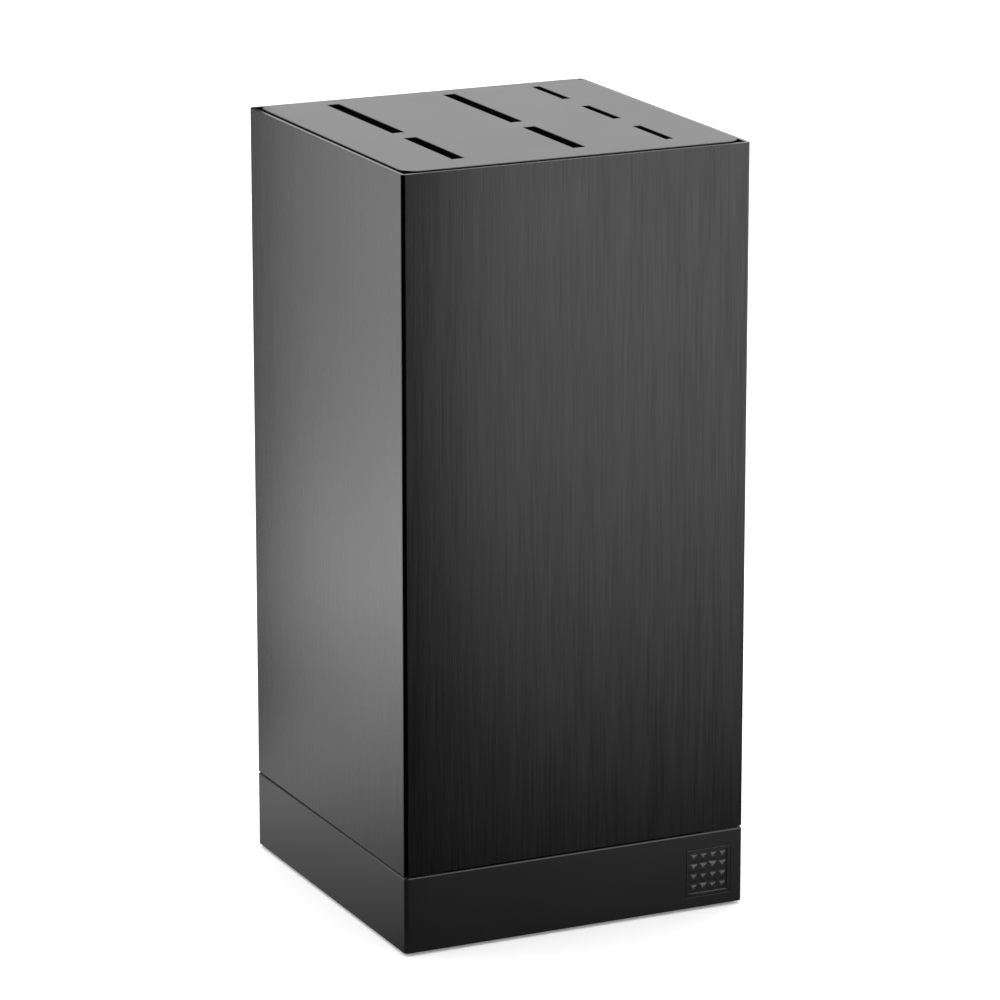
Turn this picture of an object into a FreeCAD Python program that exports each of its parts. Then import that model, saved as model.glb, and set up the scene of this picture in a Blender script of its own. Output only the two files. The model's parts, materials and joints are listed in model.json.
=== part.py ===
import FreeCAD, Part
import os
import re
import Sketcher

# A tall square knife block: a brushed sleeve on a moulded plinth, and a slotted
# cassette that drops into the sleeve and lifts out for cleaning.
# Millimetres. Origin under the middle of the feet, +Z up, the front faces -Y.
# X offsets are measured from the left or right outer face, Y offsets from the front or back one.

os.makedirs("parts", exist_ok=True)
doc = FreeCAD.newDocument("knife_block")
sizes = doc.addObject("Spreadsheet::Sheet", "Sizes")

drivingSizes = {
    # overall
    "blockWidth": 110,
    "blockDepth": 110,
    "blockHeight": 231,
    # sleeve
    "sleeveWall": 1.2,
    "outerCorner": 1.2,
    "rimChamfer": 0.3,
    "seamGap": 0.5,
    # plinth
    "plinthHeight": 24,
    "plinthWall": 3,
    "plinthDeck": 3,
    "plinthChamfer": 0.4,
    "spigotHeight": 5,
    "spigotWall": 2,
    "spigotClearance": 0.3,
    "bossRadius": 4,
    "bossInset": 12,
    # badge
    "badgeSide": 14.6,
    "badgeFromRight": 4,
    "badgeFromFloor": 4.4,
    "badgePlate": 0.8,
    "badgeRelief": 0.4,
    "badgeBorder": 1,
    "badgeStud": 2.6,
    "badgeStudsAcross": 4,
    "badgeStudTaper": 60,
    "badgeClearance": 0.1,
    # corner blocks that tie the sleeve to the plinth
    "cornerBlock": 12,
    "cornerBlockHeight": 14,
    # ledges that carry the cassette
    "ledgeReach": 4,
    "ledgeThickness": 1.5,
    "ledgeDrop": 12,
    "ledgeLength": 70,
    # slotted top and the ladder deck bonded under it
    "skinThickness": 2,
    "deckHeight": 6,
    "insertGap": 0.55,
    "insertProud": 0.4,
    "insertCorner": 5,
    "insertFillet": 0.2,
    # blade slots
    "slotFront": 12.5,
    "slotBack": 8.5,
    "cookSlotWidth": 3.9,
    "steakSlotWidth": 2.5,
    "shortSlot": 33.5,
    "slotBridge": 8,
    "steakSlot": 21.5,
    "rowLeft": 21.4,
    "rowMiddle": 59.3,
    "rowRight": 18.6,
    # blade guides, the free height for blade tips under them, and the spreaders between the rows
    "guideWall": 2,
    "guideEnd": 1.6,
    "bladeSpace": 49,
    "spreaderDepth": 8,
    "spreaderHeight": 12,
    # screws
    "threadClearance": 0.05,
    "holeClearance": 0.3,
    "headClearance": 0.3,
    "socketDepth": 1,
    "pilotSpare": 1,
    "sleeveScrewRadius": 2,
    "sleeveScrewLength": 12,
    "sleeveScrewHead": 3.5,
    "sleeveScrewHeadHeight": 2.5,
    "coverScrewRadius": 1.5,
    "coverScrewHead": 2.8,
    "coverScrewHeadHeight": 1.6,
    "coverScrewLength": 12,
    # floor pad, ballast, cover and feet
    "padThickness": 3,
    "padClearance": 0.2,
    "ballastThickness": 4,
    "ballastMargin": 4,
    "coverThickness": 3,
    "coverClearance": 0.2,
    "footRadius": 6,
    "footThickness": 3,
    "footProud": 1,
    "footTaper": 0.8,
    "footInset": 16,
}

for row, (alias, value) in enumerate(drivingSizes.items(), start=1):
    sizes.set(f"A{row}", alias)
    sizes.set(f"B{row}", str(value))
    sizes.setAlias(f"B{row}", alias)
doc.recompute()

# Sizes that follow from the driving ones.
insideWidth = "(blockWidth - 2 * sleeveWall)"
insideDepth = "(blockDepth - 2 * sleeveWall)"
cavityWidth = "(blockWidth - 2 * plinthWall)"
cavityDepth = "(blockDepth - 2 * plinthWall)"
deckBottom = "(plinthHeight - plinthDeck)"
sleeveBottom = "(plinthHeight + seamGap)"
coverTop = "(footProud + coverThickness)"
ballastTop = f"({coverTop} + ballastThickness)"
screwCorner = "(sleeveWall + cornerBlock / 2)"
padReach = "(spigotClearance + spigotWall + padClearance)"
insertTop = "(blockHeight + insertProud)"
skinBottom = f"({insertTop} - skinThickness)"
ledgeTop = f"({skinBottom} - deckHeight)"
guideBottom = "(plinthHeight + bladeSpace)"
insertWidth = f"({insideWidth} - 2 * insertGap)"
insertDepth = f"({insideDepth} - 2 * insertGap)"
longSlot = "(blockDepth - slotFront - slotBack - shortSlot - slotBridge)"
steakPitch = "((blockDepth - slotFront - slotBack - steakSlot) / 2)"
guideFront = "(slotFront - guideEnd - blockDepth / 2)"
guideBack = "(blockDepth / 2 - slotBack + guideEnd)"

# Each row of slots: where its left wall stands, how wide it is, and each slot's front end and length.
slotStart = "(slotFront - blockDepth / 2)"
cookSlots = [
    (slotStart, "shortSlot"),
    (f"({slotStart} + shortSlot + slotBridge)", longSlot),
]
steakSlots = [(f"({slotStart} + {place} * {steakPitch})", "steakSlot") for place in range(3)]
rows = {
    "left": ("(rowLeft - blockWidth / 2)", "cookSlotWidth", cookSlots),
    "middle": ("(rowMiddle - blockWidth / 2)", "cookSlotWidth", cookSlots),
    "right": ("(blockWidth / 2 - rowRight - steakSlotWidth)", "steakSlotWidth", steakSlots),
}
corners = {
    "front_left": (-1, -1),
    "front_right": (1, -1),
    "back_left": (-1, 1),
    "back_right": (1, 1),
}
sides = {
    "front": (0, -1),
    "right": (1, 0),
    "back": (0, 1),
    "left": (-1, 0),
}


def bind(item, path, formula):
    """Bind one property to a formula in which the sheet's aliases are written bare."""
    prefixed = re.sub(r"[A-Za-z]\w*", lambda word: "Sizes." + word.group(0), str(formula))
    item.setExpression(path, prefixed)


def inset(direction, amount):
    """Place a point by its distance in from the outer faces, towards a corner or a side."""
    return (
        f"({direction[0]} * (blockWidth / 2 - {amount}))",
        f"({direction[1]} * (blockDepth / 2 - {amount}))",
    )


def originPlane(body, role):
    return next(plane for plane in body.Origin.OriginFeatures if plane.Role == role)


def sketchOn(body, name, offset, role="XY_Plane"):
    sketch = body.newObject("Sketcher::SketchObject", name)
    sketch.AttachmentSupport = (originPlane(body, role), "")
    sketch.MapMode = "FlatFace"
    bind(sketch, "AttachmentOffset.Base.z", offset)
    return sketch


def constrain(sketch, kind, ends, formula, start=1.0):
    place = sketch.addConstraint(Sketcher.Constraint(kind, *ends, start))
    bind(sketch, f"Constraints[{place}]", formula)


def addRectangle(sketch, lowX, lowY, sizeX, sizeY):
    points = [FreeCAD.Vector(x, y, 0) for x, y in ((0, 0), (1, 0), (1, 1), (0, 1))]
    first = sketch.GeometryCount
    for side in range(4):
        sketch.addGeometry(Part.LineSegment(points[side], points[(side + 1) % 4]))
    for side in range(4):
        after = first + (side + 1) % 4
        sketch.addConstraint(Sketcher.Constraint("Coincident", first + side, 2, after, 1))
        sketch.addConstraint(Sketcher.Constraint("Vertical" if side % 2 else "Horizontal", first + side))
    constrain(sketch, "DistanceX", (-1, 1, first, 1), lowX)
    constrain(sketch, "DistanceY", (-1, 1, first, 1), lowY)
    constrain(sketch, "DistanceX", (first, 1, first, 2), sizeX)
    constrain(sketch, "DistanceY", (first + 1, 1, first + 1, 2), sizeY)


def addCentred(sketch, sizeX, sizeY):
    addRectangle(sketch, f"-{sizeX} / 2", f"-{sizeY} / 2", sizeX, sizeY)


def addCircle(sketch, centre, radius):
    circle = sketch.addGeometry(Part.Circle(FreeCAD.Vector(), FreeCAD.Vector(0, 0, 1), 1))
    constrain(sketch, "DistanceX", (-1, 1, circle, 3), centre[0])
    constrain(sketch, "DistanceY", (-1, 1, circle, 3), centre[1])
    constrain(sketch, "Radius", (circle,), radius)


def pad(body, name, sketch, length, reverse=False, taper=0):
    feature = body.newObject("PartDesign::Pad", name)
    feature.Profile = sketch
    feature.Reversed = reverse
    feature.TaperAngle = taper
    bind(feature, "Length", length)
    doc.recompute()
    return feature


def pocket(body, name, sketch, length, upward=False):
    """Cut below the sketch, or above it when upward; the volume has to shrink."""
    before = body.Shape.Volume
    feature = body.newObject("PartDesign::Pocket", name)
    feature.Profile = sketch
    feature.Reversed = upward
    bind(feature, "Length", length)
    doc.recompute()
    if feature.Shape.Volume >= before:
        raise RuntimeError(f"{name} cuts nothing")
    return feature


def dress(body, kind, name, base, edges, size):
    """Fillet or chamfer the named edges of the last feature."""
    feature = body.newObject(f"PartDesign::{kind}", name)
    feature.Base = (base, edges)
    bind(feature, "Radius" if kind == "Fillet" else "Size", size)
    doc.recompute()
    return feature


def uprightEdges(shape):
    """Names of the straight edges that stand along Z."""
    names = []
    for place, edge in enumerate(shape.Edges, start=1):
        low, high = edge.Vertexes[0].Point, edge.Vertexes[-1].Point
        if abs(low.x - high.x) + abs(low.y - high.y) < 1e-6:
            names.append(f"Edge{place}")
    return names


def levelEdges(shape, height):
    """Names of the edges that lie at one height."""
    names = []
    for place, edge in enumerate(shape.Edges, start=1):
        if abs(edge.BoundBox.ZMin - height) + abs(edge.BoundBox.ZMax - height) < 1e-6:
            names.append(f"Edge{place}")
    return names


def primitive(kind, name, place, **measures):
    item = doc.addObject(f"Part::{kind}", name)
    for axis, formula in zip("xyz", place):
        bind(item, f"Placement.Base.{axis}", formula)
    for measure, formula in measures.items():
        bind(item, measure, formula)
    return item


def box(name, place, sizeX, sizeY, sizeZ):
    return primitive("Box", name, place, Length=sizeX, Width=sizeY, Height=sizeZ)


def cylinder(name, centre, low, radius, height):
    return primitive("Cylinder", name, (*centre, low), Radius=radius, Height=height)


def combined(kind, name, base, tool):
    """Fuse, Cut or Common of two objects."""
    item = doc.addObject(f"Part::{kind}", name)
    item.Base = base
    item.Tool = tool
    item.Refine = True
    return item


subParts = []


def keep(item):
    subParts.append(item)


def makeSleeve():
    """Square tube, open at both ends, with a fine chamfer round the rim."""
    body = doc.addObject("PartDesign::Body", "sleeve")
    outline = sketchOn(body, "sleeve_outline", sleeveBottom)
    addCentred(outline, "blockWidth", "blockDepth")
    tube = pad(body, "sleeve_tube", outline, f"blockHeight - {sleeveBottom}")
    rounded = dress(body, "Fillet", "sleeve_corners", tube, uprightEdges(tube.Shape), "outerCorner")
    top = levelEdges(rounded.Shape, sizes.blockHeight)
    dress(body, "Chamfer", "sleeve_rim", rounded, top, "rimChamfer")
    bore = sketchOn(body, "sleeve_bore", "blockHeight")
    addCentred(bore, insideWidth, insideDepth)
    pocket(body, "sleeve_inside", bore, "blockHeight")
    keep(body)


def makePlinth():
    """Moulded base: four walls, a deck, locating ribs, screw bosses and a recess for the badge."""
    body = doc.addObject("PartDesign::Body", "plinth")
    outline = sketchOn(body, "plinth_outline", "footProud")
    addCentred(outline, "blockWidth", "blockDepth")
    block = pad(body, "plinth_block", outline, "plinthHeight - footProud")
    rounded = dress(body, "Fillet", "plinth_corners", block, uprightEdges(block.Shape), "outerCorner")
    top = levelEdges(rounded.Shape, sizes.plinthHeight)
    dress(body, "Chamfer", "plinth_shoulder", rounded, top, "plinthChamfer")

    hollow = sketchOn(body, "plinth_hollow", "footProud")
    addCentred(hollow, cavityWidth, cavityDepth)
    pocket(body, "plinth_inside", hollow, f"{deckBottom} - footProud", upward=True)

    bosses = sketchOn(body, "boss_circles", ballastTop)
    pilots = sketchOn(body, "pilot_circles", ballastTop)
    for direction in sides.values():
        addCircle(bosses, inset(direction, "bossInset"), "bossRadius")
        addCircle(pilots, inset(direction, "bossInset"), "coverScrewRadius + threadClearance")
    pad(body, "plinth_bosses", bosses, f"{deckBottom} - {ballastTop}")
    pocket(body, "boss_pilots", pilots, "coverScrewLength + pilotSpare", upward=True)

    ribs = sketchOn(body, "spigot_outline", "plinthHeight")
    ribSpan = "(cornerBlock + padClearance)"
    ribWidth = f"({insideWidth} - 2 * {ribSpan})"
    ribDepth = f"({insideDepth} - 2 * {ribSpan})"
    ribOffset = "(sleeveWall + spigotClearance)"
    addRectangle(ribs, f"-{ribWidth} / 2", f"{ribOffset} - blockDepth / 2", ribWidth, "spigotWall")
    addRectangle(ribs, f"-{ribWidth} / 2", f"blockDepth / 2 - {ribOffset} - spigotWall", ribWidth, "spigotWall")
    addRectangle(ribs, f"{ribOffset} - blockWidth / 2", f"-{ribDepth} / 2", "spigotWall", ribDepth)
    addRectangle(ribs, f"blockWidth / 2 - {ribOffset} - spigotWall", f"-{ribDepth} / 2", "spigotWall", ribDepth)
    pad(body, "plinth_spigot", ribs, "spigotHeight")

    deckHoles = sketchOn(body, "deck_circles", deckBottom)
    for direction in corners.values():
        addCircle(deckHoles, inset(direction, screwCorner), "sleeveScrewRadius + holeClearance")
    pocket(body, "deck_holes", deckHoles, "plinthDeck", upward=True)

    recess = sketchOn(body, "badge_outline", "blockDepth / 2", "XZ_Plane")
    side = "(badgeSide + 2 * badgeClearance)"
    addRectangle(
        recess,
        "blockWidth / 2 - badgeFromRight - badgeSide - badgeClearance",
        "badgeFromFloor - badgeClearance",
        side,
        side,
    )
    pocket(body, "badge_recess", recess, "badgePlate + badgeRelief")
    keep(body)


def makeBadge():
    """Square tile with a raised border and a plain four by four grid of low pyramids."""
    body = doc.addObject("PartDesign::Body", "badge")
    left = "(blockWidth / 2 - badgeFromRight - badgeSide)"
    face = "blockDepth / 2 - badgeRelief"
    tile = sketchOn(body, "badge_square", face, "XZ_Plane")
    addRectangle(tile, left, "badgeFromFloor", "badgeSide", "badgeSide")
    pad(body, "badge_tile", tile, "badgePlate", reverse=True)

    border = sketchOn(body, "badge_border", face, "XZ_Plane")
    inner = "(badgeSide - 2 * badgeBorder)"
    addRectangle(border, left, "badgeFromFloor", "badgeSide", "badgeSide")
    addRectangle(border, f"{left} + badgeBorder", "badgeFromFloor + badgeBorder", inner, inner)
    pad(body, "badge_frame", border, "badgeRelief")

    grid = sketchOn(body, "badge_grid", face, "XZ_Plane")
    count = drivingSizes["badgeStudsAcross"]
    pitch = f"({inner} / badgeStudsAcross)"
    margin = f"(({pitch} - badgeStud) / 2)"
    for across in range(count):
        for up in range(count):
            addRectangle(
                grid,
                f"{left} + badgeBorder + {margin} + {across} * {pitch}",
                f"badgeFromFloor + badgeBorder + {margin} + {up} * {pitch}",
                "badgeStud",
                "badgeStud",
            )
    pad(body, "badge_studs", grid, "badgeRelief", taper=-drivingSizes["badgeStudTaper"])
    keep(body)


def roundedPlate(name, low, height):
    """A plate with the slotted top's outline."""
    body = doc.addObject("PartDesign::Body", name)
    outline = sketchOn(body, f"{name}_outline", low)
    addCentred(outline, insertWidth, insertDepth)
    plate = pad(body, f"{name}_plate", outline, height)
    dress(body, "Fillet", f"{name}_corners", plate, uprightEdges(plate.Shape), "insertCorner")
    return body


def makeInsert():
    """Slotted top: a thin plate with rounded corners and a softened upper edge."""
    body = roundedPlate("top_insert", skinBottom, "skinThickness")
    top = levelEdges(body.Shape, body.Shape.BoundBox.ZMax)
    dress(body, "Fillet", "insert_edge", body.Tip, top, "insertFillet")
    slots = sketchOn(body, "slot_outlines", insertTop)
    for lowX, width, spans in rows.values():
        for start, length in spans:
            addRectangle(slots, lowX, start, width, length)
    pocket(body, "insert_slots", slots, "skinThickness")
    keep(body)


def makeDeck():
    """Ladder under the slotted top: two cross rails that sit on the ledges, and bars between the rows."""
    blank = roundedPlate("deck_blank", ledgeTop, "deckHeight")

    def deckPiece(name, lowX, lowY, highX, highY):
        place = (lowX, lowY, ledgeTop)
        slab = box(f"{name}_slab", place, f"{highX} - {lowX}", f"{highY} - {lowY}", "deckHeight")
        keep(combined("Common", name, blank, slab))

    edges = (f"(-{insertWidth} / 2)", f"(-{insertDepth} / 2)", f"({insertWidth} / 2)", f"({insertDepth} / 2)")
    deckPiece("deck_rail_front", edges[0], edges[1], edges[2], guideFront)
    deckPiece("deck_rail_back", edges[0], guideBack, edges[2], edges[3])
    lows = [edges[0]] + [f"({lowX} + {width} + guideWall)" for lowX, width, _ in rows.values()]
    highs = [f"({lowX} - guideWall)" for lowX, _, _ in rows.values()] + [edges[2]]
    for number, (lowX, highX) in enumerate(zip(lows, highs), start=1):
        deckPiece(f"deck_bar_{number}", lowX, guideFront, highX, guideBack)


def makeGuides():
    """Two flat walls to each row, held apart by spacers before, between and behind its slots."""
    length = f"({skinBottom} - {guideBottom})"
    for name, (lowX, width, spans) in rows.items():
        for side, wallX in (("near", f"({lowX} - guideWall)"), ("far", f"({lowX} + {width})")):
            place = (wallX, guideFront, guideBottom)
            keep(box(f"guide_{name}_{side}", place, "guideWall", f"{guideBack} - {guideFront}", length))
        starts = [guideFront] + [f"({start} + {span})" for start, span in spans]
        ends = [start for start, _ in spans] + [guideBack]
        for number, (start, end) in enumerate(zip(starts, ends), start=1):
            place = (lowX, start, guideBottom)
            keep(box(f"spacer_{name}_{number}", place, width, f"{end} - {start}", length))


def makeSpreaders():
    """Bars across the two gaps between the rows, at the front and the back of the guides' lower ends."""
    leftRow, middleRow, rightRow = rows.values()
    for name, before, after in (("left", leftRow, middleRow), ("right", middleRow, rightRow)):
        lowX = f"({before[0]} + {before[1]} + guideWall)"
        width = f"({after[0]} - guideWall - {lowX})"
        for end, lowY in (("front", guideFront), ("back", f"({guideBack} - spreaderDepth)")):
            place = (lowX, lowY, guideBottom)
            keep(box(f"spreader_{name}_{end}", place, width, "spreaderDepth", "spreaderHeight"))


def makeScrew(name, centre, seat, radius, length, headRadius, headHeight):
    """Socket screw that points up, with its head under the seat."""
    head = cylinder(f"{name}_head", centre, f"{seat} - {headHeight}", headRadius, headHeight)
    shank = cylinder(f"{name}_shank", centre, seat, radius, length)
    socket = primitive(
        "Prism",
        f"{name}_socket",
        (*centre, f"{seat} - {headHeight}"),
        Circumradius=f"{headRadius} / 2",
        Height="socketDepth",
    )
    socket.Polygon = 6
    turned = combined("Fuse", f"{name}_turned", head, shank)
    keep(combined("Cut", name, turned, socket))


def makeScrews():
    for name, direction in corners.items():
        makeScrew(
            f"sleeve_screw_{name}",
            inset(direction, screwCorner),
            deckBottom,
            "sleeveScrewRadius",
            "sleeveScrewLength",
            "sleeveScrewHead",
            "sleeveScrewHeadHeight",
        )
    for name, direction in sides.items():
        makeScrew(
            f"cover_screw_{name}",
            inset(direction, "bossInset"),
            "(footProud + coverScrewHeadHeight + headClearance)",
            "coverScrewRadius",
            "coverScrewLength",
            "coverScrewHead",
            "coverScrewHeadHeight",
        )


def makeCornerBlocks():
    """Metal blocks bonded into the sleeve's lower corners, threaded for the sleeve screws."""
    for name, direction in corners.items():
        middle = inset(direction, screwCorner)
        place = (f"{middle[0]} - cornerBlock / 2", f"{middle[1]} - cornerBlock / 2", "plinthHeight")
        blank = box(f"corner_block_{name}_blank", place, "cornerBlock", "cornerBlock", "cornerBlockHeight")
        hole = cylinder(
            f"corner_block_{name}_hole",
            middle,
            "plinthHeight",
            "sleeveScrewRadius + threadClearance",
            "cornerBlockHeight",
        )
        keep(combined("Cut", f"corner_block_{name}", blank, hole))


def makeLedges():
    """Angle strips bonded inside the sleeve's four walls, which the cassette's deck sits on."""
    for name, (alongX, alongY) in sides.items():
        runsX = alongX == 0
        faceX = f"{alongX} * {insideWidth} / 2"
        faceY = f"{alongY} * {insideDepth} / 2"

        def strip(part, reach, height):
            """A bar against the wall, reach wide, hanging down from the deck's underside."""
            sizeX = "ledgeLength" if runsX else reach
            sizeY = reach if runsX else "ledgeLength"
            lowX = f"{faceX} - {(alongX + 1) / 2} * {sizeX}" if alongX else f"-{sizeX} / 2"
            lowY = f"{faceY} - {(alongY + 1) / 2} * {sizeY}" if alongY else f"-{sizeY} / 2"
            place = (lowX, lowY, f"{ledgeTop} - {height}")
            return box(f"ledge_{name}_{part}", place, sizeX, sizeY, height)

        wing = strip("wing", "ledgeReach", "ledgeThickness")
        leg = strip("leg", "ledgeThickness", "ledgeDrop")
        keep(combined("Fuse", f"ledge_{name}", wing, leg))


def makePad():
    """Soft cross-shaped pad on the plinth's deck, between the corner blocks, for the blade tips."""
    fullWidth = f"({insideWidth} - 2 * {padReach})"
    fullDepth = f"({insideDepth} - 2 * {padReach})"
    armWidth = f"({insideWidth} - 2 * (cornerBlock + padClearance))"
    armDepth = f"({insideDepth} - 2 * (cornerBlock + padClearance))"
    across = box(
        "floor_pad_across",
        (f"-{fullWidth} / 2", f"-{armDepth} / 2", "plinthHeight"),
        fullWidth,
        armDepth,
        "padThickness",
    )
    along = box(
        "floor_pad_along",
        (f"-{armWidth} / 2", f"-{fullDepth} / 2", "plinthHeight"),
        armWidth,
        fullDepth,
        "padThickness",
    )
    keep(combined("Fuse", "floor_pad", across, along))


def makeBallast():
    """Steel plate over the cover, drilled for the cover screws."""
    body = doc.addObject("PartDesign::Body", "ballast_plate")
    outline = sketchOn(body, "ballast_outline", coverTop)
    addCentred(outline, f"({cavityWidth} - 2 * ballastMargin)", f"({cavityDepth} - 2 * ballastMargin)")
    pad(body, "ballast_slab", outline, "ballastThickness")
    holes = sketchOn(body, "ballast_circles", coverTop)
    for direction in sides.values():
        addCircle(holes, inset(direction, "bossInset"), "coverScrewRadius + holeClearance")
    pocket(body, "ballast_holes", holes, "ballastThickness", upward=True)
    keep(body)


def makeCover():
    """Plate that closes the plinth underneath, with wells for the feet and the screw heads."""
    body = doc.addObject("PartDesign::Body", "base_cover")
    outline = sketchOn(body, "cover_outline", "footProud")
    addCentred(outline, f"({cavityWidth} - 2 * coverClearance)", f"({cavityDepth} - 2 * coverClearance)")
    pad(body, "cover_plate", outline, "coverThickness")

    footWells = sketchOn(body, "foot_circles", "footProud")
    for direction in corners.values():
        addCircle(footWells, inset(direction, "footInset"), "footRadius")
    pocket(body, "foot_wells", footWells, "footThickness - footProud", upward=True)

    heads = sketchOn(body, "cover_head_circles", "footProud")
    holes = sketchOn(body, "cover_circles", "footProud")
    for direction in sides.values():
        addCircle(heads, inset(direction, "bossInset"), "coverScrewHead + headClearance")
        addCircle(holes, inset(direction, "bossInset"), "coverScrewRadius + holeClearance")
    pocket(body, "cover_head_wells", heads, "coverScrewHeadHeight + headClearance", upward=True)
    pocket(body, "cover_holes", holes, "coverThickness", upward=True)
    keep(body)


def makeFeet():
    """Rubber discs pressed into the cover, tapered where they meet the table."""
    for name, direction in corners.items():
        centre = inset(direction, "footInset")
        disc = cylinder(f"foot_{name}_disc", centre, "footProud", "footRadius", "footThickness - footProud")
        tread = primitive(
            "Cone",
            f"foot_{name}_tread",
            (*centre, 0),
            Radius1="footRadius - footTaper",
            Radius2="footRadius",
            Height="footProud",
        )
        keep(combined("Fuse", f"foot_{name}", disc, tread))


makeSleeve()
makePlinth()
makeBadge()
makeCornerBlocks()
makeLedges()
makePad()
makeBallast()
makeCover()
makeFeet()
makeScrews()
makeInsert()
makeDeck()
makeGuides()
makeSpreaders()
doc.recompute()

for item in doc.Objects:
    if "Invalid" in item.State or "Error" in item.State:
        raise RuntimeError(f"{item.Label} did not compute: {item.State}")
for item in subParts:
    item.Label = item.Name
    if item.Shape.isNull() or not item.Shape.isValid() or len(item.Shape.Solids) != 1:
        raise RuntimeError(f"{item.Label} is not one valid solid")
    item.Shape.exportStep(f"parts/{item.Label}.step")
    print(f"{item.Label}: {item.Shape.Volume:.1f} mm3")
print(len(subParts), "parts")
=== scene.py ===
import json
from math import atan2, cos, pi, radians, sin

import bmesh
import bpy
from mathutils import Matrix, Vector


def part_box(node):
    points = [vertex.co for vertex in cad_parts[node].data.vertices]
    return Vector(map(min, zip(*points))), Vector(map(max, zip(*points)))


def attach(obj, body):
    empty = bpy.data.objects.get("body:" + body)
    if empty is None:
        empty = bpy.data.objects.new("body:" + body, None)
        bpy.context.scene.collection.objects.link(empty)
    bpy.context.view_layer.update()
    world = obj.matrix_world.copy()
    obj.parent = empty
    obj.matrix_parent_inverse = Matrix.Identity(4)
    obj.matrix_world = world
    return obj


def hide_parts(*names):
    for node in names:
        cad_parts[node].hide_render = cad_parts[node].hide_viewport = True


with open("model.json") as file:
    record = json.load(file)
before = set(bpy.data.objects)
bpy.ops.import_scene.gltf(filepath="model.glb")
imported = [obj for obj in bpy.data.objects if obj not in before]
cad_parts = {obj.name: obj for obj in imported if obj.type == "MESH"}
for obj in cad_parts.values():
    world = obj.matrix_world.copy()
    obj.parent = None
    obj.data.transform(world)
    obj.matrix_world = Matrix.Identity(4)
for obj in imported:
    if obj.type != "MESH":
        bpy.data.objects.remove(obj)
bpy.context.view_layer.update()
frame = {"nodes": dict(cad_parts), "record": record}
nodes = frame["nodes"]
mm = 0.001
print("frame loaded:", len(nodes), "parts")


class Signal:  # one output of a node, so that node maths reads as maths
    def __init__(self, maker, socket):
        self.maker = maker
        self.socket = socket

    def __add__(self, other):
        return self.maker.maths("ADD", self, other)

    def __radd__(self, other):
        return self.maker.maths("ADD", other, self)

    def __sub__(self, other):
        return self.maker.maths("SUBTRACT", self, other)

    def __rsub__(self, other):
        return self.maker.maths("SUBTRACT", other, self)

    def __mul__(self, other):
        return self.maker.maths("MULTIPLY", self, other)

    def __rmul__(self, other):
        return self.maker.maths("MULTIPLY", other, self)

    def __truediv__(self, other):
        return self.maker.maths("DIVIDE", self, other)

    def __rtruediv__(self, other):
        return self.maker.maths("DIVIDE", other, self)

    def __pow__(self, other):
        return self.maker.maths("POWER", self, other)


class NodeMaker:  # adds nodes to a tree, settings first and then sockets
    def __init__(self, tree):
        self.tree = tree

    def feed(self, socket, value):
        if isinstance(value, Signal):
            self.tree.links.new(value.socket, socket)
        else:
            socket.default_value = value

    def node(self, kind, settings=None, sockets=None, output=0):
        made = self.tree.nodes.new(kind)
        for name, value in (settings or {}).items():
            if name == "stops":
                ramp = made.color_ramp.elements
                while len(ramp) < len(value):
                    ramp.new(1.0)
                for element, (place, level) in zip(ramp, value):
                    element.position = place
                    element.color = (level, level, level, 1)
            else:
                setattr(made, name, value)
        for name, value in (sockets or {}).items():
            self.feed(made.inputs[name], value)
        return Signal(self, made.outputs[output])

    def maths(self, operation, first, second=0.0):
        return self.node("ShaderNodeMath", {"operation": operation}, {0: first, 1: second})

    def vector(self, x, y, z):
        return self.node("ShaderNodeCombineXYZ", None, {0: x, 1: y, 2: z})

    def parts(self, vector):
        split = self.node("ShaderNodeSeparateXYZ", None, {0: vector}).socket.node
        return [Signal(self, socket) for socket in split.outputs]


class Finish(NodeMaker):  # a material whose pattern lies in the object's own coordinates
    def __init__(self, name, **steady):
        self.material = bpy.data.materials.new(name)
        self.material.use_nodes = True
        super().__init__(self.material.node_tree)
        self.shader = self.tree.nodes["Principled BSDF"]
        for socket, value in steady.items():
            self.shader.inputs[socket.replace("_", " ")].default_value = value
        self.place = self.node("ShaderNodeTexCoord", None, None, "Object")
        self.x, self.y, self.z = self.parts(self.place)

    def grain(self, where, scale, detail=2.0, roughness=0.5):  # noise about zero, roughly -1 to 1
        raw = self.node(
            "ShaderNodeTexNoise",
            None,
            {"Vector": where, "Scale": scale, "Detail": detail, "Roughness": roughness},
        )
        return (raw - 0.5) * 2.0

    def spread(self, value, low, high, start=0.0, end=1.0):  # maps low..high onto start..end, clamped
        return self.node(
            "ShaderNodeMapRange", None, {0: value, 1: low, 2: high, 3: start, 4: end}
        )

    def mixed(self, factor, first, second):
        settings = {"data_type": "RGBA", "clamp_factor": True}
        return self.node("ShaderNodeMix", settings, {0: factor, 6: first, 7: second}, 2)

    def grey(self, level, tint=(1.0, 1.0, 1.0)):  # a level scaled by a tint
        even = self.vector(level, level, level)
        return self.node("ShaderNodeVectorMath", {"operation": "MULTIPLY"}, {0: even, 1: tint})

    def wear(self, colour=None, roughness=None, height=None, depth=0.1 * mm):
        if colour is not None:
            self.feed(self.shader.inputs["Base Color"], colour)
        if roughness is not None:
            self.feed(self.shader.inputs["Roughness"], roughness)
        if height is not None:
            bump = self.node("ShaderNodeBump", None, {"Height": height, "Distance": depth})
            self.feed(self.shader.inputs["Normal"], bump)
        return self.material


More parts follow.
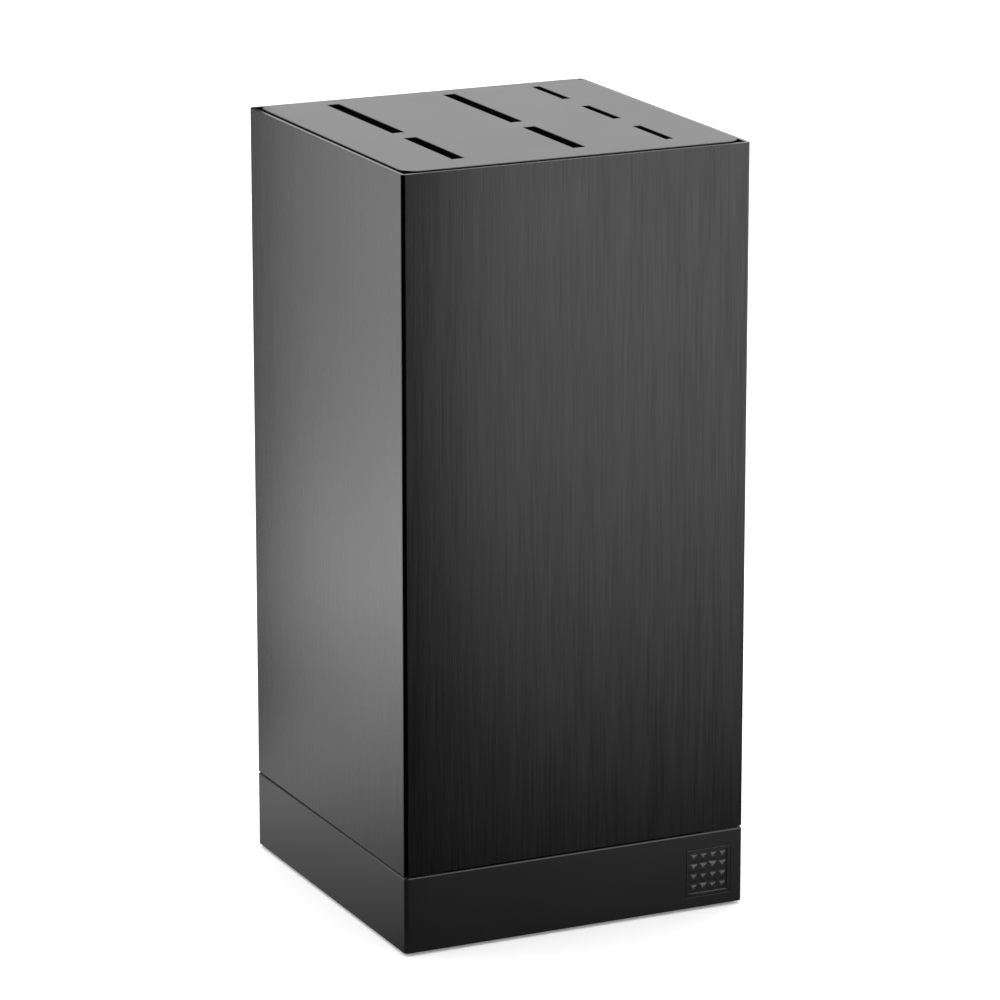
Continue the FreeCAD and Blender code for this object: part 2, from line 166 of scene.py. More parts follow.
brushed = {
    "black": 0.046,  # how much the anodised skin mirrors straight on
    "tint": (1.0, 1.0, 1.02),
    "contrast": 0.8,
    "roughness": 0.29,
    "roughnessSwing": 0.12,
    "relief": 0.004 * mm,
    # spacing of the lines, how much longer than wide they are, and their share of the pattern
    "hair": (0.32 * mm, 90.0, 0.40),
    "line": (0.9 * mm, 36.0, 0.40),
    "band": (3.5 * mm, 14.0, 0.20),
    # how fine the smudges are, and how far they swing the roughness
    "smudge": (22.0, 0.02),
}


def makeBrushedBlack():
    finish = Finish("brushedBlack", Metallic=1.0)
    streak = 0.0
    for layer in ("hair", "line", "band"):
        spacing, stretch, share = brushed[layer]
        place = finish.vector(finish.x, finish.y, finish.z / stretch)
        streak = finish.grain(place, 1 / spacing, 2.0, 0.6) * share + streak
    level = brushed["black"] * (1.0 + brushed["contrast"] * streak)
    scale, swing = brushed["smudge"]
    smudge = finish.grain(finish.place, scale, 3.0)
    roughness = brushed["roughness"] + brushed["roughnessSwing"] * streak + swing * smudge
    colour = finish.grey(level, brushed["tint"])
    return finish.wear(colour, roughness, streak * 2.0, brushed["relief"])


# in the finishes below, a pattern gives its fineness, then how far it swings colour and roughness
satinMoulding = {
    "black": 0.005,
    "roughness": 0.38,
    "badgeRoughness": 0.2,  # the badge is polished
    "badgeIndex": 1.8,
    "cloud": (35.0, 0.10, 0.03),
    "speck": (4200.0, 0.08, 0.02),
    "peel": 900.0,
    "relief": 0.006 * mm,
}


def makeSatinMoulding(name, sheen, index=1.5):
    finish = Finish(name, IOR=index)
    cloudScale, cloudShade, cloudSheen = satinMoulding["cloud"]
    speckScale, speckShade, speckSheen = satinMoulding["speck"]
    peel = finish.grain(finish.place, satinMoulding["peel"])
    speck = finish.grain(finish.place, speckScale)
    cloud = finish.grain(finish.place, cloudScale, 3.0)
    level = satinMoulding["black"] * (1.0 + cloudShade * cloud + speckShade * speck)
    roughness = sheen + cloudSheen * cloud + speckSheen * speck
    height = peel * 0.5 + speck * 0.3
    return finish.wear(finish.grey(level), roughness, height, satinMoulding["relief"])


matteTop = {
    "black": 0.007,
    "roughness": 0.36,
    "wallPaintedShadeBlack": 0.002,  # the cut walls of the slots are smoother than the top, and their colour is darker as painted shade in the slots
    "wallRoughness": 0.12,
    "wallFade": (0.3 * mm, 0.13 * mm),  # the change lies between these depths
    "cloud": (28.0, 0.08, 0.03),
    "spark": (3000.0, 0.10, 0.03),
    "pits": 2400.0,
    "relief": 0.012 * mm,
}


def makeMatteTop():
    finish = Finish("matteTop", IOR=1.5)
    cloudScale, cloudShade, cloudSheen = matteTop["cloud"]
    sparkScale, sparkShade, sparkSheen = matteTop["spark"]
    spark = finish.grain(finish.place, sparkScale, 3.0, 0.6)
    sockets = {"Vector": finish.place, "Scale": matteTop["pits"]}
    pit = finish.node("ShaderNodeTexVoronoi", None, sockets)
    cloud = finish.grain(finish.place, cloudScale, 3.0)
    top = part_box("top_insert")[1].z
    deep, shallow = matteTop["wallFade"]
    face = finish.spread(finish.z, top - deep, top - shallow)  # 0 on the walls, 1 on the top
    # painted shade: the slot walls get a darker black than the top, standing in for the shade inside
    # the slots
    black = matteTop["wallPaintedShadeBlack"] + face * (matteTop["black"] - matteTop["wallPaintedShadeBlack"])
    sheen = face * (matteTop["roughness"] - matteTop["wallRoughness"])
    level = black * (1.0 + cloudShade * cloud + sparkShade * spark)
    swing = face * (cloudSheen * cloud + sparkSheen * spark)
    roughness = matteTop["wallRoughness"] + sheen + swing
    height = spark * 0.5 + pit * 0.5
    return finish.wear(finish.grey(level), roughness, height, matteTop["relief"])


guideMoulding = {
    "black": 0.007,
    "roughness": 0.55,
    "flow": (60.0, 0.12, 0.05),
    "flowDraw": (0.4, 0.15),  # the flow marks are drawn out along the depth and the height
    "spark": (2600.0, 0.05),
    "pinSpacing": 46 * mm,  # ejector pin marks
    "pinRadius": 2.2 * mm,
    "pinRim": 0.15 * mm,
    "pinShade": 0.2,
    "relief": 0.02 * mm,
}


def makeGuideMoulding():
    finish = Finish("guideMoulding", IOR=1.5)
    flowScale, flowShade, flowSheen = guideMoulding["flow"]
    sparkScale, sparkShade = guideMoulding["spark"]
    drawY, drawZ = guideMoulding["flowDraw"]
    spark = finish.grain(finish.place, sparkScale)
    drawn = finish.vector(finish.x, finish.y * drawY, finish.z * drawZ)
    flow = finish.grain(drawn, flowScale, 3.0)
    pinY = finish.maths("PINGPONG", finish.y, guideMoulding["pinSpacing"] / 2)
    pinZ = finish.maths("PINGPONG", finish.z, guideMoulding["pinSpacing"] / 2)
    reach = (pinY * pinY + pinZ * pinZ) ** 0.5
    sockets = {0: reach, 1: guideMoulding["pinRadius"], 2: guideMoulding["pinRim"]}
    rim = finish.node("ShaderNodeMath", {"operation": "COMPARE"}, sockets)
    shade = 1.0 + flowShade * flow + sparkShade * spark - guideMoulding["pinShade"] * rim
    level = guideMoulding["black"] * shade
    roughness = guideMoulding["roughness"] + flowSheen * flow
    return finish.wear(finish.grey(level), roughness, spark * 0.3 - rim, guideMoulding["relief"])


bareAluminium = {
    "level": 0.72,
    "roughness": 0.36,
    "saw": (0.5 * mm, 0.05, 0.08),  # spacing of the saw lines first
    "cloud": (90.0, 0.05, 0.04),
    "relief": 0.01 * mm,
}


def makeBareAluminium():
    finish = Finish("bareAluminium", Metallic=1.0)
    spacing, sawShade, sawSheen = bareAluminium["saw"]
    cloudScale, cloudShade, cloudSheen = bareAluminium["cloud"]
    lying = finish.vector(finish.x * 0.1, finish.y * 0.1, finish.z)
    saw = finish.grain(lying, 1 / spacing, 3.0)
    cloud = finish.grain(finish.place, cloudScale, 3.0)
    level = bareAluminium["level"] * (1.0 + sawShade * saw + cloudShade * cloud)
    roughness = bareAluminium["roughness"] + sawSheen * saw + cloudSheen * cloud
    return finish.wear(finish.grey(level), roughness, saw, bareAluminium["relief"])


zincSteel = {
    "level": 0.50,
    "tint": (1.0, 1.0, 1.02),
    "roughness": 0.30,
    "flake": (260.0, 0.14, 0.10),
    "scuff": (1300.0, 0.06, 0.05),
    "relief": 0.006 * mm,
}


def makeZincSteel():
    finish = Finish("zincSteel", Metallic=1.0)
    flakeScale, flakeShade, flakeSheen = zincSteel["flake"]
    scuffScale, scuffShade, scuffSheen = zincSteel["scuff"]
    sockets = {"Vector": finish.place, "Scale": flakeScale}
    flake = finish.node("ShaderNodeTexVoronoi", None, sockets, "Color")
    tone = finish.parts(flake)[0]
    scuff = finish.grain(finish.place, scuffScale, 3.0)
    level = zincSteel["level"] * (0.9 + flakeShade * tone + scuffShade * scuff)
    roughness = zincSteel["roughness"] + flakeSheen * tone + scuffSheen * scuff
    colour = finish.grey(level, zincSteel["tint"])
    return finish.wear(colour, roughness, scuff, zincSteel["relief"])


rubber = {
    "black": (0.022, 0.022, 0.022, 1),
    "dust": (0.10, 0.098, 0.095, 1),
    "dustScale": 140.0,
    "dustShare": 0.25,
    "roughness": 0.78,
    "speckScale": 1500.0,
    "speckSheen": 0.08,
    "relief": 0.03 * mm,
}


def makeRubber():
    finish = Finish("rubber", IOR=1.5)
    speck = finish.grain(finish.place, rubber["speckScale"], 3.0, 0.6)
    dust = finish.spread(finish.grain(finish.place, rubber["dustScale"], 4.0), 0.2, 0.7)
    colour = finish.mixed(dust * rubber["dustShare"], rubber["black"], rubber["dust"])
    roughness = rubber["roughness"] + rubber["speckSheen"] * speck
    return finish.wear(colour, roughness, speck, rubber["relief"])


finishes = {
    "black_anodised": makeBrushedBlack(),
    "black_moulding": makeSatinMoulding("satinMoulding", satinMoulding["roughness"]),
    "insert_moulding": makeMatteTop(),
    "guide_moulding": makeGuideMoulding(),
    "bare_aluminium": makeBareAluminium(),
    "steel": makeZincSteel(),
    "rubber": makeRubber(),
}
slotOf = {part["node"]: part["material_slot"] for part in frame["record"]["subparts"]}
bodyOf = {
    node: body
    for body, members in frame["record"]["behaviour"]["bodies"].items()
    for node in members
}
print("finishes made:", len(finishes))


def addObject(name, mesh):
    piece = bpy.data.objects.new(name, mesh)
    bpy.context.scene.collection.objects.link(piece)
    return piece


def baked(piece):  # the piece as a plain mesh, with its modifiers applied
    shape = piece.evaluated_get(bpy.context.evaluated_depsgraph_get())
    mesh = bpy.data.meshes.new_from_object(shape)
    name = piece.name
    bpy.data.objects.remove(piece)
    mesh.name = name
    return addObject(name, mesh)


easing = {
    "steps": 2,
    "sharp": radians(32),  # edges turned by more than this are rounded
    "flat": radians(1),  # faces turned by less than this are made one
    "crease": radians(35),  # edges of a pattern piece that are shaded sharp
    "weld": 0.001 * mm,
    "faceWeight": 100,  # how strongly large faces keep their shading flat
}


def softenEdges(piece, width):
    for polygon in piece.data.polygons:
        polygon.use_smooth = True
    bevel = piece.modifiers.new("edges", "BEVEL")
    bevel.width = width
    bevel.segments = easing["steps"]
    bevel.limit_method = "ANGLE"
    bevel.angle_limit = easing["sharp"]
    bevel.use_clamp_overlap = True
    piece.modifiers.new("normals", "WEIGHTED_NORMAL").weight = easing["faceWeight"]
    return baked(piece)


def handOver(piece, *replaced):  # the piece takes the place, finish and body of these parts
    if not piece.data.materials:
        piece.data.materials.append(finishes[slotOf[replaced[0]]])
    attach(piece, bodyOf[replaced[0]])
    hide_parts(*replaced)


def refined(node, width):  # a part's own shape with its edges eased
    mesh = nodes[node].data.copy()
    mesh.materials.clear()
    shape = bmesh.new()
    shape.from_mesh(mesh)
    bmesh.ops.remove_doubles(shape, verts=shape.verts, dist=easing["weld"])
    bmesh.ops.dissolve_limit(
        shape, angle_limit=easing["flat"], verts=shape.verts, edges=shape.edges
    )
    shape.to_mesh(mesh)
    shape.free()
    piece = addObject(f"{node}_piece", mesh)
    handOver(softenEdges(piece, width), node)


sleeve = {
    "corner": 1.2 * mm,
    "innerCorner": 0.1 * mm,
    "rim": 0.12 * mm,  # rounding of the rim's outer edge
    "innerRim": 0.06 * mm,
    "cornerSteps": 8,
    "rimSteps": 4,
}


def roundedSquare(halfX, halfY, radius, steps):  # corner points, anticlockwise from the front right
    points = []
    for corner, (signX, signY) in enumerate(((1, -1), (1, 1), (-1, 1), (-1, -1))):
        for step in range(steps + 1):
            angle = -pi / 2 + (corner + step / steps) * pi / 2
            x = signX * (halfX - radius) + radius * cos(angle)
            y = signY * (halfY - radius) + radius * sin(angle)
            points.append(Vector((x, y, 0)))
    return points


def arc(centre, radius, start, end, steps):
    turns = [radians(start + (end - start) * step / steps) for step in range(steps + 1)]
    return [(centre[0] + radius * cos(turn), centre[1] + radius * sin(turn)) for turn in turns]


def makeSleeve():
    low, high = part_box("sleeve")
    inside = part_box("ledge_right")[1].x  # the ledges are bonded to the inner faces
    wall = high.x - inside
    steps = sleeve["cornerSteps"]
    outer = roundedSquare(high.x, high.y, sleeve["corner"], steps)
    inner = roundedSquare(high.x - wall, high.y - wall, sleeve["innerCorner"], steps)
    rim, innerRim, turn = sleeve["rim"], sleeve["innerRim"], sleeve["rimSteps"]
    profile = arc((innerRim, low.z + innerRim), innerRim, 270, 180, turn)
    profile += arc((rim, high.z - rim), rim, 180, 90, turn)
    profile += arc((wall - innerRim, high.z - innerRim), innerRim, 90, 0, turn)
    profile += arc((wall - innerRim, low.z + innerRim), innerRim, 0, -90, turn)
    shape = bmesh.new()
    rings = []
    for depth, height in profile:
        share = depth / wall
        ring = [a.lerp(b, share) for a, b in zip(outer, inner)]
        rings.append([shape.verts.new((point.x, point.y, height)) for point in ring])
    for ring, after in zip(rings, rings[1:] + rings[:1]):
        for place in range(len(ring)):
            follow = (place + 1) % len(ring)
            shape.faces.new((ring[place], ring[follow], after[follow], after[place]))
    bmesh.ops.recalc_face_normals(shape, faces=shape.faces)
    mesh = bpy.data.meshes.new("sleeve_piece")
    shape.to_mesh(mesh)
    shape.free()
    mesh.shade_smooth()
    piece = addObject("sleeve_piece", mesh)
    piece.modifiers.new("normals", "WEIGHTED_NORMAL").weight = easing["faceWeight"]
    handOver(baked(piece), "sleeve")


eased = {  # width of the rounding on each part's edges
    "plinth": 0.14 * mm,
    "top_insert": 0.12 * mm,
    "base_cover": 0.2 * mm,
    "floor_pad": 0.3 * mm,
    "ballast_plate": 0.2 * mm,
    "corner_block": 0.3 * mm,
    "ledge": 0.15 * mm,
    "deck": 0.2 * mm,
    "guide": 0.2 * mm,
    "spacer": 0.15 * mm,
    "spreader": 0.3 * mm,
}


def makeRefined():
    for start, width in eased.items():
        for node in sorted(nodes):
            if node == start or node.startswith(f"{start}_"):
                refined(node, width)


class Shape(NodeMaker):  # a geometry tree whose sizes are named inputs
    def __init__(self, name, **sizes):
        self.tree = bpy.data.node_groups.new(name, "GeometryNodeTree")
        self.sizes = sizes
        face = self.tree.interface
        face.new_socket("Geometry", in_out="OUTPUT", socket_type="NodeSocketGeometry")
        self.inputs = {}
        for size, value in sizes.items():
            kind = "NodeSocketInt" if isinstance(value, int) else "NodeSocketFloat"
            self.inputs[size] = face.new_socket(size, in_out="INPUT", socket_type=kind)
        entry = self.tree.nodes.new("NodeGroupInput")
        for size in sizes:
            setattr(self, size, Signal(self, entry.outputs[size]))
        self.x, self.y, self.z = self.parts(self.node("GeometryNodeInputPosition"))

    def cylinder(self, radius, depth, around, rings=1, fill=1, cap="NGON"):
        sockets = {"Vertices": around, "Side Segments": rings, "Fill Segments": fill}
        sockets.update({"Radius": radius, "Depth": depth})
        return self.node("GeometryNodeMeshCylinder", {"fill_type": cap}, sockets)

    def block(self, x, y, z):
        return self.node("GeometryNodeMeshCube", None, {"Size": self.vector(x, y, z)})

    def moved(self, geometry, x=0.0, y=0.0, z=0.0):
        sockets = {"Geometry": geometry, "Offset": self.vector(x, y, z)}
        return self.node("GeometryNodeSetPosition", None, sockets)

    def turned(self, geometry, rotation, x=0.0, y=0.0, z=0.0):
        sockets = {"Geometry": geometry, "Rotation": rotation, "Translation": self.vector(x, y, z)}
        return self.node("GeometryNodeTransform", None, sockets)

    def joined(self, *pieces):
        join = self.node("GeometryNodeJoinGeometry")
        for piece in reversed(pieces):
            self.tree.links.new(piece.socket, join.socket.node.inputs[0])
        return join

    def cut(self, piece, tool):
        sockets = {"Mesh 1": piece, "Mesh 2": tool}
        return self.node("GeometryNodeMeshBoolean", {"operation": "DIFFERENCE"}, sockets)

    def fused(self, weld, *solids):  # one closed solid, with points closer than the weld merged
        fuse = self.node("GeometryNodeMeshBoolean", {"operation": "UNION", "solver": "EXACT"})
        for solid in solids:
            self.tree.links.new(solid.socket, fuse.socket.node.inputs["Mesh 2"])
        return self.node("GeometryNodeMergeByDistance", None, {"Geometry": fuse, "Distance": weld})

    def spaced(self, points, piece, turn=(0, 0, 0)):
        sockets = {"Points": points, "Instance": piece, "Rotation": turn}
        return self.node("GeometryNodeInstanceOnPoints", None, sockets)

    def square(self, radius, turn, height):  # four points on a circle
        ring = self.node("GeometryNodeMeshCircle", None, {"Vertices": 4, "Radius": radius})
        return self.moved(self.turned(ring, self.vector(0.0, 0.0, turn)), z=height)

    def finished(self, name, geometry, finish):
        real = self.node("GeometryNodeRealizeInstances", None, {"Geometry": geometry})
        coated = self.node("GeometryNodeSetMaterial", None, {"Geometry": real, "Material": finish})
        self.tree.links.new(coated.socket, self.tree.nodes.new("NodeGroupOutput").inputs[0])
        piece = addObject(name, bpy.data.meshes.new(name))
        grow = piece.modifiers.new("shape", "NODES")
        grow.node_group = self.tree
        for size, value in self.sizes.items():
            grow[self.inputs[size].identifier] = value
        piece = baked(piece)
        piece.data.shade_smooth()
        piece.data.set_sharp_from_angle(angle=easing["crease"])
        return piece


def membersOf(start):
    return [node for node in sorted(nodes) if node.startswith(start)]


def ringOf(members):  # distance of the parts' middles from the axis, and their angle
    low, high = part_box(members[0])
    middle = (low + high) / 2
    return middle.to_2d().length, atan2(middle.y, middle.x)


screws = {
    "sleeve": {"shank": 2.0 * mm, "headHeight": 2.5 * mm, "pitch": 0.7 * mm, "key": 1.5 * mm},
    "cover": {"shank": 1.5 * mm, "headHeight": 1.6 * mm, "pitch": 0.8 * mm, "key": 1.1 * mm},
}
screwDetail = {
    "around": 20,
    "ringsPerTurn": 6,
    "headAround": 40,
    "headRings": 5,
    "headFlat": 0.2,  # share of the head's height past which its rim is rounded
    "keyDepthShare": 0.55,
    "threadShare": 0.61,
}


def makeScrews(kind):
    members = membersOf(f"{kind}_screw_")
    low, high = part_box(members[0])
    radius, turn = ringOf(members)
    size = screws[kind]
    length = high.z - low.z - size["headHeight"]
    shape = Shape(
        f"{kind}Screw",
        ringRadius=radius,
        ringTurn=turn,
        level=low.z,
        headRadius=(high.x - low.x) / 2,
        headHeight=size["headHeight"],
        shankRadius=size["shank"],
        length=length,
        pitch=size["pitch"],
        rings=round(length / size["pitch"] * screwDetail["ringsPerTurn"]),
        key=size["key"],
    )
    # the shank's skin dips towards the thread's root by the height and the angle
    angle = shape.maths("ARCTAN2", shape.y, shape.x) / (2 * pi)
    dip = shape.maths("PINGPONG", shape.z / shape.pitch - angle, 0.5) * 2.0
    root = screwDetail["threadShare"] * shape.pitch / shape.shankRadius
    pull = dip * root * -1.0
    bare = shape.cylinder(shape.shankRadius, shape.length, screwDetail["around"], shape.rings)
    threaded = shape.moved(bare, shape.x * pull, shape.y * pull)
    shank = shape.moved(threaded, z=shape.length / 2 + shape.headHeight)
    around, rings = screwDetail["headAround"], screwDetail["headRings"]
    blank = shape.cylinder(shape.headRadius, shape.headHeight, around, rings)
    below = shape.z / shape.headHeight * -1.0 - screwDetail["headFlat"]
    edge = shape.maths("MAXIMUM", below, 0.0) ** 2.0
    head = shape.moved(blank, shape.x * edge * -1.0, shape.y * edge * -1.0)
    socket = shape.moved(
        shape.cylinder(shape.key, shape.headHeight, 6),
        z=shape.headHeight * (screwDetail["keyDepthShare"] - 1.0),
    )
    keyed = shape.moved(shape.cut(head, socket), z=shape.headHeight / 2)
    screw = shape.joined(keyed, shank)
    points = shape.square(shape.ringRadius, shape.ringTurn, shape.level)
    piece = shape.finished(
        f"{kind}_screws_piece", shape.spaced(points, screw), finishes[slotOf[members[0]]]
    )
    handOver(piece, *members)


foot = {
    "proud": 1.0 * mm,
    "taper": 0.8 * mm,
    "groove": 0.35 * mm,
    "groovePitch": 1.5 * mm,
    "grooveSlope": 3.0,
    "grooveFlat": 1.6,
    "grooved": 0.86,  # share of the radius that has grooves
    "underside": 0.01 * mm,  # what lies lower than this is the tread
    "around": 72,
    "rings": 9,
    "steps": 24,
}


def makeFeet():
    members = membersOf("foot_")
    low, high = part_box(members[0])
    radius, turn = ringOf(members)
    shape = Shape(
        "rubberFoot",
        ringRadius=radius,
        ringTurn=turn,
        radius=(high.x - low.x) / 2,
        thickness=high.z - low.z,
        proud=foot["proud"],
        taper=foot["taper"],
        groove=foot["groove"],
        groovePitch=foot["groovePitch"],
    )
    disc = shape.cylinder(
        shape.radius, shape.thickness, foot["around"], foot["rings"], foot["steps"], "TRIANGLE_FAN"
    )
    disc = shape.moved(disc, z=shape.thickness / 2)
    inward = shape.maths("MAXIMUM", 1.0 - shape.z / shape.proud, 0.0) * shape.taper / shape.radius
    reach = (shape.x * shape.x + shape.y * shape.y) ** 0.5
    wave = shape.maths("PINGPONG", reach / shape.groovePitch, 0.5) * 2.0
    rise = shape.maths("MAXIMUM", wave * foot["grooveSlope"] - foot["grooveFlat"], 0.0)
    dip = shape.maths("SMOOTH_MIN", rise, 1.0)
    under = shape.maths("LESS_THAN", shape.z, foot["underside"])
    inner = shape.maths("LESS_THAN", reach, shape.radius * foot["grooved"])
    depth = dip * under * inner * shape.groove
    tread = shape.moved(disc, shape.x * inward * -1.0, shape.y * inward * -1.0, depth)
    points = shape.square(shape.ringRadius, shape.ringTurn, 0.0)
    piece = shape.finished("feet_piece", shape.spaced(points, tread), finishes["rubber"])
    handOver(piece, *members)


badge = {
    "border": 1.0 * mm,
    "relief": 0.4 * mm,
    "count": 4,
    "stud": 2.6 * mm,
    "studTop": 0.33,  # a stud's corners at the top, as a share of its side at the foot
    "edge": 0.05 * mm,
    "weld": 0.005 * mm,
}


def makeBadge():
    low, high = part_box("badge")
    shape = Shape(
        "badgeTile",
        side=high.x - low.x,
        thickness=high.y - low.y - badge["relief"],
        border=badge["border"],
        relief=badge["relief"],
        count=badge["count"],
        stud=badge["stud"],
        across=(low.x + high.x) / 2,
        front=low.y,
        height=(low.z + high.z) / 2,
    )
    # the tile lies face up while it is built, and is then stood up
    inner = shape.side - 2.0 * shape.border
    pitch = inner / shape.count
    tile = shape.moved(shape.block(shape.side, shape.side, shape.thickness), z=shape.thickness / 2)
    plate = shape.block(shape.side, shape.side, shape.relief)
    rim = shape.cut(plate, shape.block(inner, inner, shape.relief * 2.0))
    sockets = {"Size X": inner - pitch, "Size Y": inner - pitch}
    sockets.update({"Vertices X": shape.count, "Vertices Y": shape.count})
    spots = shape.node("GeometryNodeMeshGrid", None, sockets)
    sockets = {"Vertices": 4, "Depth": shape.relief, "Radius Top": shape.stud * badge["studTop"]}
    sockets["Radius Bottom"] = shape.stud * 0.5 * 2 ** 0.5  # half of the diagonal
    stud = shape.node("GeometryNodeMeshCone", {"fill_type": "NGON"}, sockets)
    studs = shape.spaced(spots, stud, (0, 0, pi / 4))
    raised = shape.joined(shape.moved(rim, z=shape.relief / 2), studs)
    lifted = shape.turned(raised, (0, 0, 0), z=shape.thickness)
    real = shape.node("GeometryNodeRealizeInstances", None, {"Geometry": lifted})
    whole = shape.fused(badge["weld"], real, tile)
    face = shape.front + shape.thickness + shape.relief
    stood = shape.turned(whole, (pi / 2, 0, 0), shape.across, face, shape.height)
    polished = makeSatinMoulding(
        "polishedMoulding", satinMoulding["badgeRoughness"], satinMoulding["badgeIndex"]
    )
    piece = shape.finished("badge_piece", stood, polished)
    handOver(softenEdges(piece, badge["edge"]), "badge")


coverRibs = {"reach": 30 * mm, "count": 7, "width": 0.9 * mm, "drop": 0.4 * mm}


def makeCoverRibs():
    low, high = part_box("base_cover")
    shape = Shape(
        "coverRibs",
        reach=coverRibs["reach"],
        count=coverRibs["count"],
        width=coverRibs["width"],
        drop=coverRibs["drop"],
        under=low.z,
    )
    sockets = {
        "Count": shape.count,
        "Start Location": shape.vector(shape.reach * -1.0, 0.0, 0.0),
        "Offset": shape.vector(shape.reach, 0.0, 0.0),  # in this mode, where the line ends
    }
    line = shape.node("GeometryNodeMeshLine", {"mode": "END_POINTS"}, sockets)
    bar = shape.block(shape.width, shape.reach * 2.0 + shape.width, shape.drop)
    ribs = shape.spaced(line, bar)
    crossed = shape.turned(ribs, (0, 0, pi / 2))
    both = shape.joined(ribs, crossed)
    lattice = shape.turned(both, (0, 0, 0), z=shape.under - shape.drop / 2)
    piece = shape.finished("cover_ribs", lattice, finishes["black_moulding"])
    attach(piece, bodyOf["base_cover"])


makeSleeve()
makeRefined()
print("plates, guides and sleeve made")
makeScrews("sleeve")
makeScrews("cover")
makeFeet()
makeBadge()
makeCoverRibs()
print("screws, feet, badge and ribs made")


view = {
    "lens": 187.8,
    "sensor": 36,
    "reach": 50,
    "place": (-0.6377, -1.3535, 0.5252),
    "down": radians(15.243),
    "turn": radians(-25.271),
}
stage = {
    "floorHalf": 6.0,
    "floorWhite": 0.95,
    "floorGlow": 0.17,  # keeps the ground shadow pale
    "floorTooth": (40.0, 0.004),  # how fine the paper's grain is and how much it swings the white
    "floorRoughness": 0.9,
    "worldLevel": 1.35,
    "glowDrop": 1 * mm,  # how far the glowing sheet lies under the floor
    "span": 1.0,  # reach of the glow's shading to each side of the block
    "glow": 4.6,
    # brightness at each place from in front of the block, 0, to behind it, 1
    "behind": [(0.48, 0.004), (0.5, 0.06), (0.54, 0.13), (0.6, 0.3), (0.69, 0.64), (0.85, 0.42)],
    "ahead": [(0.0, 0.54), (0.2, 0.38), (0.32, 0.20), (0.4, 0.06), (0.47, 0.01), (0.5, 0.0)],
    # from where to where across the view each change runs, and between which levels
    "leftShade": (-0.36, -0.05, 0.3, 1.0),
    "rightShade": (0.0, 0.25, 1.0, 0.7),
    "sides": (0.25, 0.65, 0.0, 0.28),
    "cloth": (8.0, 0.02),  # how fine the cards' weave is and how much it swings their glow
}


def alongView(across, away):  # a place across the line of sight and away along it, as x and y
    turn = view["turn"]
    return across * cos(turn) + away * sin(turn), away * cos(turn) - across * sin(turn)


def makeSheet(name, corners):
    mesh = bpy.data.meshes.new(name)
    mesh.from_pydata(corners, [], [(0, 1, 2, 3)])
    sheet = addObject(name, mesh)
    return sheet


def onlyMirrored(sheet):  # the sheet is there for reflections and casts no shadow
    for ray in ("camera", "diffuse", "shadow", "transmission", "volume_scatter"):
        setattr(sheet, f"visible_{ray}", False)


def squareAt(half, height):
    return [
        (-half, -half, height),
        (half, -half, height),
        (half, half, height),
        (-half, half, height),
    ]


def makeGlow(name, strength=1.0):
    light = Finish(name, Roughness=1.0, Specular_IOR_Level=0.0)
    light.shader.inputs["Base Color"].default_value = (0, 0, 0, 1)
    light.shader.inputs["Emission Strength"].default_value = strength
    return light


def makeStage():
    floor = makeSheet("floor", squareAt(stage["floorHalf"], 0.0))
    paper = Finish(
        "palePaper", Roughness=stage["floorRoughness"], Emission_Strength=stage["floorGlow"]
    )
    scale, swing = stage["floorTooth"]
    tooth = paper.grain(paper.place, scale, 3.0)
    paper.wear(paper.grey(stage["floorWhite"] + swing * tooth))
    floor.data.materials.append(paper.material)
    floor.visible_glossy = False

    # a second sheet under the floor gives the sides of the block something graded to mirror
    glow = makeSheet("reflector", squareAt(stage["floorHalf"], -stage["glowDrop"]))
    light = makeGlow("reflectorGlow")
    turn = view["turn"]
    away = light.x * sin(turn) + light.y * cos(turn)
    across = light.x * cos(turn) - light.y * sin(turn)
    place = light.spread(away, -stage["span"], stage["span"])
    back = light.node("ShaderNodeValToRGB", {"stops": stage["behind"]}, {0: place})
    front = light.node("ShaderNodeValToRGB", {"stops": stage["ahead"]}, {0: place})
    shaded = light.spread(across, *stage["leftShade"]) * light.spread(across, *stage["rightShade"])
    sides = light.spread(light.maths("ABSOLUTE", across), *stage["sides"])
    level = (back + front * shaded + sides) * stage["glow"]
    light.feed(light.shader.inputs["Emission Color"], light.grey(level))
    glow.data.materials.append(light.material)
    onlyMirrored(glow)


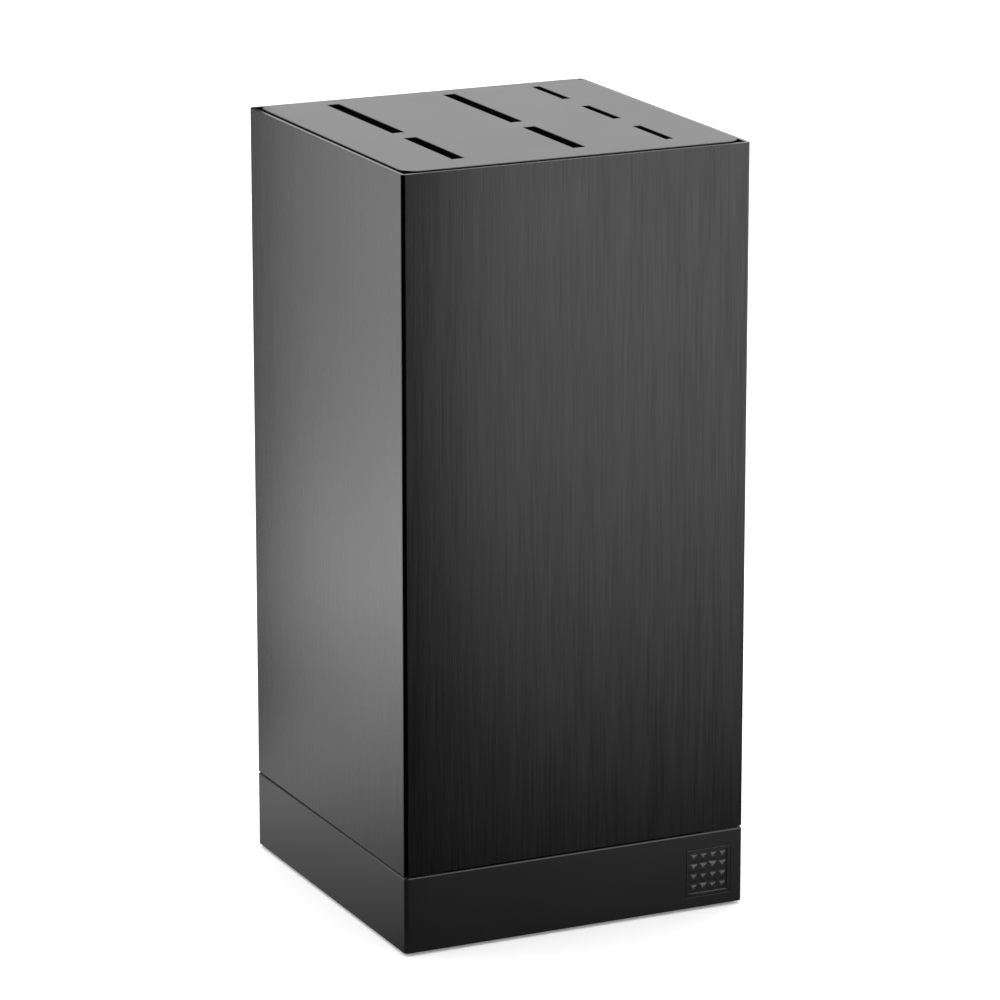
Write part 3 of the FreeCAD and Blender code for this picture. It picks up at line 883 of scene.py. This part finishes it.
# each card stands on a line from its start to its end, in metres across the view and away
# the black flags draw the dark line on the block's near corner and shade the faces beside it
cards = {
    "frontFlag": {"feet": ((-0.11, -0.107), (-0.065, -0.20)), "tall": (-0.3, 0.4), "glow": 0.0},
    "cornerFlag": {"feet": ((-0.084, -0.013), (-0.091, -0.031)), "tall": (-0.3, 0.4), "glow": 0.0},
    "nearFlag": {"feet": ((-0.091, -0.031), (-0.076, -0.043)), "tall": (-0.3, 0.4), "glow": 0.0},
    "backFlag": {"feet": ((-0.007, 0.085), (-0.027, 0.25)), "tall": (-0.3, 0.4), "glow": 0.0},
    "backCard": {"feet": ((0.1, 2.2), (2.6, 1.0)), "tall": (0.25, 2.0), "glow": 1.45},
    "highCard": {"feet": ((-0.12, -0.91), (0.88, -0.27)), "tall": (0.4, 2.2), "glow": 3.2},
}


def makeCards():
    scale, swing = stage["cloth"]
    for name, card in cards.items():
        (x1, y1), (x2, y2) = [alongView(*end) for end in card["feet"]]
        low, high = card["tall"]
        sheet = makeSheet(name, [(x1, y1, low), (x2, y2, low), (x2, y2, high), (x1, y1, high)])
        paint = makeGlow(name, card["glow"])
        cloth = paint.grey(1.0 + swing * paint.grain(paint.place, scale))
        paint.feed(paint.shader.inputs["Emission Color"], cloth)
        sheet.data.materials.append(paint.material)
        onlyMirrored(sheet)


softbox = {"place": (-0.3, 0.5, 2.2), "aim": (0, 0, 0.1), "side": 1.6, "watts": 8}


def makeSoftbox():
    lamp = bpy.data.lights.new("topSoftbox", "AREA")
    lamp.shape = "SQUARE"
    lamp.size = softbox["side"]
    lamp.energy = softbox["watts"]
    held = addObject("topSoftbox", lamp)
    held.location = softbox["place"]
    aim = Vector(softbox["aim"]) - Vector(softbox["place"])
    held.rotation_euler = aim.to_track_quat("-Z", "Y").to_euler()


def makeView():
    world = bpy.data.worlds.new("studio")
    world.use_nodes = True
    background = world.node_tree.nodes["Background"]
    background.inputs["Strength"].default_value = stage["worldLevel"]
    background.inputs["Color"].default_value = (1, 1, 1, 1)
    bpy.context.scene.world = world
    bpy.context.scene.view_settings.view_transform = "Standard"

    eye = bpy.data.cameras.new("camera")
    eye.lens = view["lens"]
    eye.sensor_width = view["sensor"]
    eye.clip_end = view["reach"]
    camera = addObject("camera", eye)
    camera.location = view["place"]
    camera.rotation_euler = (pi / 2 - view["down"], 0, view["turn"])
    bpy.context.scene.camera = camera


makeStage()
makeCards()
makeView()
makeSoftbox()
print("stage made")
